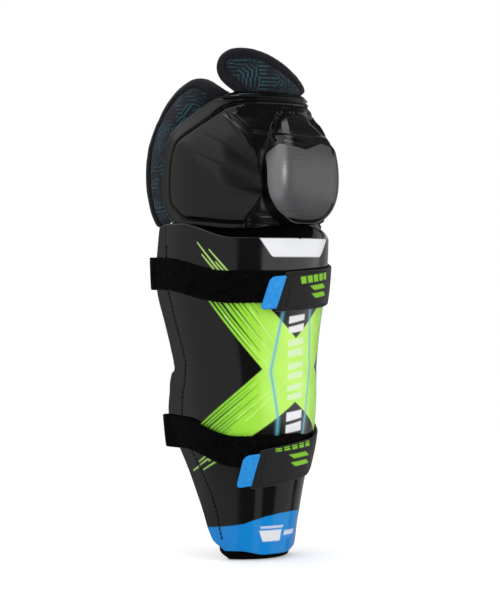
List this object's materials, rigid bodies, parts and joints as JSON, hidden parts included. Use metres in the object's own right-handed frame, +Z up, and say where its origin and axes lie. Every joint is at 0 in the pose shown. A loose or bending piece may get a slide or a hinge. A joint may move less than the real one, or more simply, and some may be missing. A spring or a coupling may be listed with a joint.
{
  "type": "hockey shin guard",
  "caption": "Right-leg shin guard: hard shell over a padded liner, flexing knee cap, padded knee wings, thigh flap and hook-and-loop straps.",
  "frame": {"origin": "on the flat lower end of the padded liner, at the front centre line in the middle of its wall", "axes": "+Z up the leg, -Y to the front of the shin, +X to the wearer's left, which is the inner side of this right leg"},
  "size_m": [0.1245, 0.1114, 0.3376],
  "materials": {
    "shell": "glossy moulded polyethylene",
    "foam": "knit fabric over foam",
    "lining": "brushed liner fabric with a dark woven pattern",
    "webbing": "fuzzy loop and woven elastic webbing",
    "hook": "hook tape",
    "tab": "soft moulded pull tab",
    "thread": "sewing thread",
    "label": "woven label"
  },
  "bodies": {
    "shin": {"shin_shell": "shell", "shin_foam": "foam", "shin_lining": "lining", "shin_pad_lateral": "lining", "shin_pad_medial": "lining", "shin_binding_lateral": "webbing", "shin_binding_medial": "webbing", "shin_seam_lateral": "thread", "shin_seam_medial": "thread", "neck_gusset": "foam", "size_label": "label", "upper_loop_strip": "webbing", "upper_strap_anchor": "webbing", "lower_loop_strip": "webbing", "lower_strap_anchor": "webbing"},
    "knee": {"knee_cap": "shell", "knee_foam": "foam", "knee_lining": "lining", "knee_ring_pad": "lining", "knee_seam": "thread"},
    "thigh_flap": {"thigh_flap_pad": "foam", "thigh_flap_panel": "lining"},
    "lateral_wing": {"lateral_wing_pad": "foam", "lateral_wing_panel": "lining"},
    "medial_wing": {"medial_wing_pad": "foam", "medial_wing_panel": "lining"},
    "upper_rear": {"upper_rear_strap": "webbing"},
    "upper_tab": {"upper_hook_tab": "webbing", "upper_hook_patch": "hook", "upper_pull_tab": "tab"},
    "lower_rear": {"lower_rear_strap": "webbing"},
    "lower_tab": {"lower_hook_tab": "webbing", "lower_hook_patch": "hook", "lower_pull_tab": "tab"}
  },
  "joints": [
    {"name": "knee_flex", "type": "hinge", "parent": "shin", "child": "knee", "pos_m": [0, 0.02996, 0.22006], "axis": [-1, 0, 0], "range_deg": [-6, 15]},
    {"name": "thigh_flap_fold", "type": "hinge", "parent": "knee", "child": "thigh_flap", "pos_m": [-0.01037, -0.00499, 0.31283], "axis": [-0.9563, 0.2924, 0], "range_deg": [-10, 22]},
    {"name": "lateral_wing_flex", "type": "hinge", "parent": "knee", "child": "lateral_wing", "pos_m": [-0.04992, 0.02892, 0.26322], "axis": [0, -0.2519, 0.9678], "range_deg": [-8, 18]},
    {"name": "medial_wing_flex", "type": "hinge", "parent": "knee", "child": "medial_wing", "pos_m": [0.04992, 0.02892, 0.26322], "axis": [0, 0.2519, -0.9678], "range_deg": [-8, 18]},
    {"name": "upper_tab_peel", "type": "hinge", "parent": "upper_rear", "child": "upper_tab", "pos_m": [0.06213, 0.04414, 0.18938], "axis": [0.0511, -0.05, 0.9974], "range_deg": [0, 130]},
    {"name": "upper_rear_swing", "type": "hinge", "parent": "shin", "child": "upper_rear", "pos_m": [-0.05355, 0.05624, 0.18938], "axis": [0, 0, 1], "range_deg": [0, 33]},
    {"name": "lower_tab_peel", "type": "hinge", "parent": "lower_rear", "child": "lower_tab", "pos_m": [0.04985, 0.04128, 0.08382], "axis": [0.1213, 0.2545, 0.9594], "range_deg": [0, 130]},
    {"name": "lower_rear_swing", "type": "hinge", "parent": "shin", "child": "lower_rear", "pos_m": [-0.04127, 0.05664, 0.08382], "axis": [0, 0, 1], "range_deg": [0, 33]}
  ],
  "couplings": [
    {"joint": "upper_rear_swing", "follows": "upper_tab_peel", "ratio": 0.25},
    {"joint": "lower_rear_swing", "follows": "lower_tab_peel", "ratio": 0.25}
  ]
}
